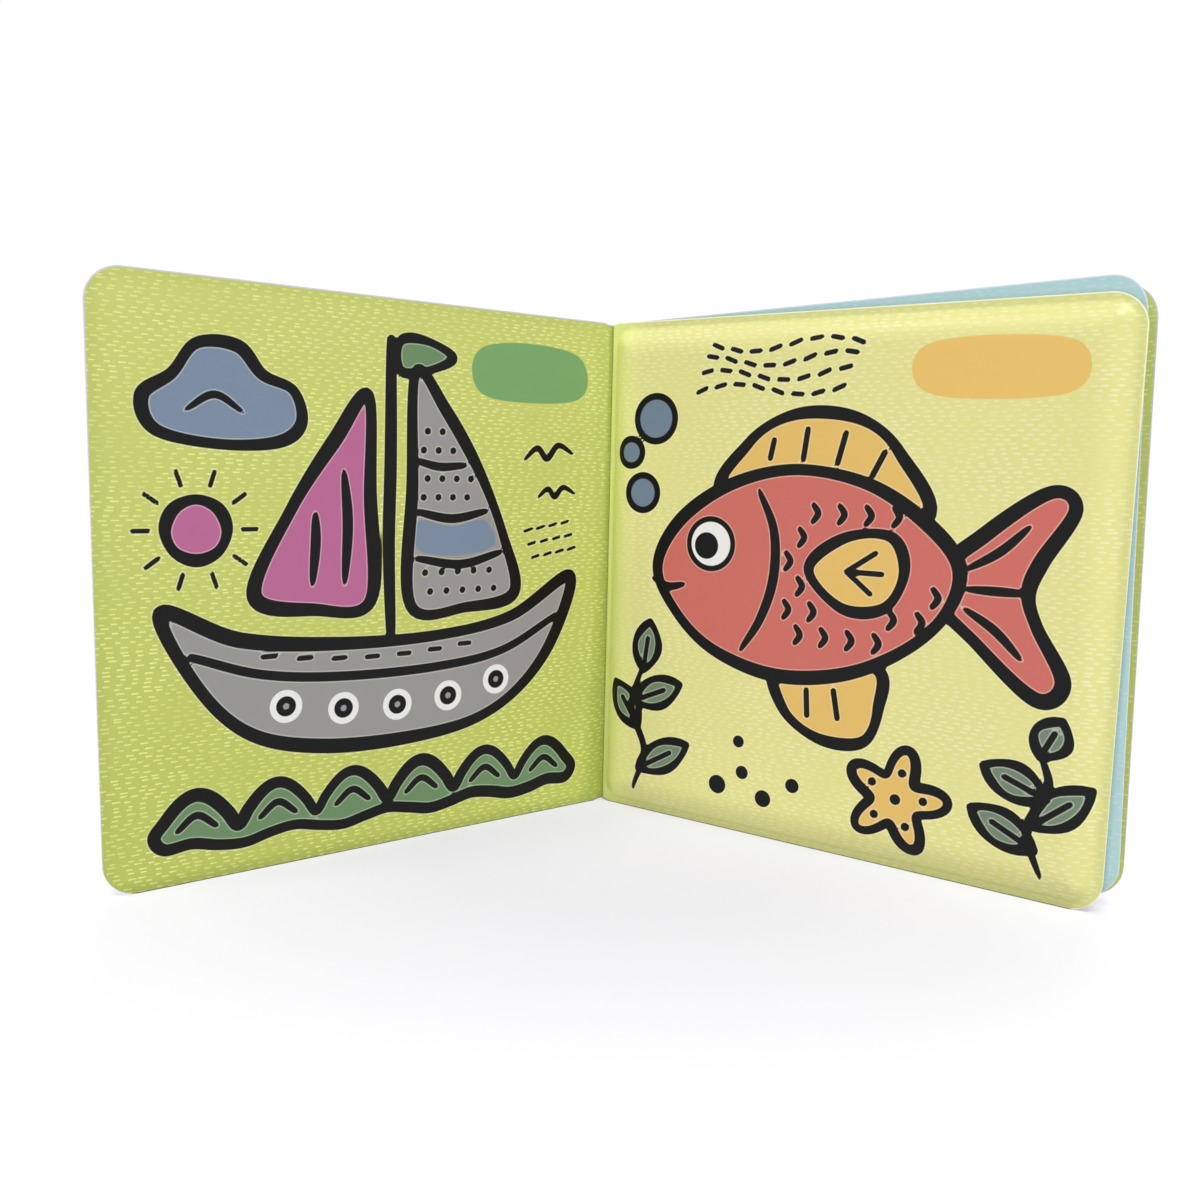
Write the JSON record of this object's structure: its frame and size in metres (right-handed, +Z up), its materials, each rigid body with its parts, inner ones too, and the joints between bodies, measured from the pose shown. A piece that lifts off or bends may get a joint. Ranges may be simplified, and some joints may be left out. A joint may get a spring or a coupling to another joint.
{
  "type": "color-changing bath book",
  "caption": "Square padded bath book of four welded soft plastic leaves, standing open at its first spread, with hinged front and back covers.",
  "frame": {"origin": "centre of the bounding box on the surface that the open book stands on", "axes": "+X to the right across the open spread, +Y towards the spine and away from the reader, +Z up"},
  "size_m": [0.2498, 0.0916, 0.154],
  "materials": {
    "page_film": "printed soft plastic film, semi-gloss, welded round foam",
    "cover_film": "printed soft plastic film, semi-gloss, welded round foam"
  },
  "bodies": {
    "root": {"middle_leaves": "page_film", "cover_spine": "cover_film"},
    "front_cover": {"front_cover": "cover_film"},
    "back_cover": {"back_cover": "cover_film"}
  },
  "joints": [
    {"name": "front_cover_hinge", "type": "hinge", "parent": "root", "child": "front_cover", "pos_m": [-0.00756, 0.04233, 0], "axis": [0, 0, 1], "range_deg": [-82, 108]},
    {"name": "back_cover_hinge", "type": "hinge", "parent": "root", "child": "back_cover", "pos_m": [0.00248, 0.04556, 0], "axis": [0, 0, 1], "range_deg": [-0.6, 165]}
  ]
}
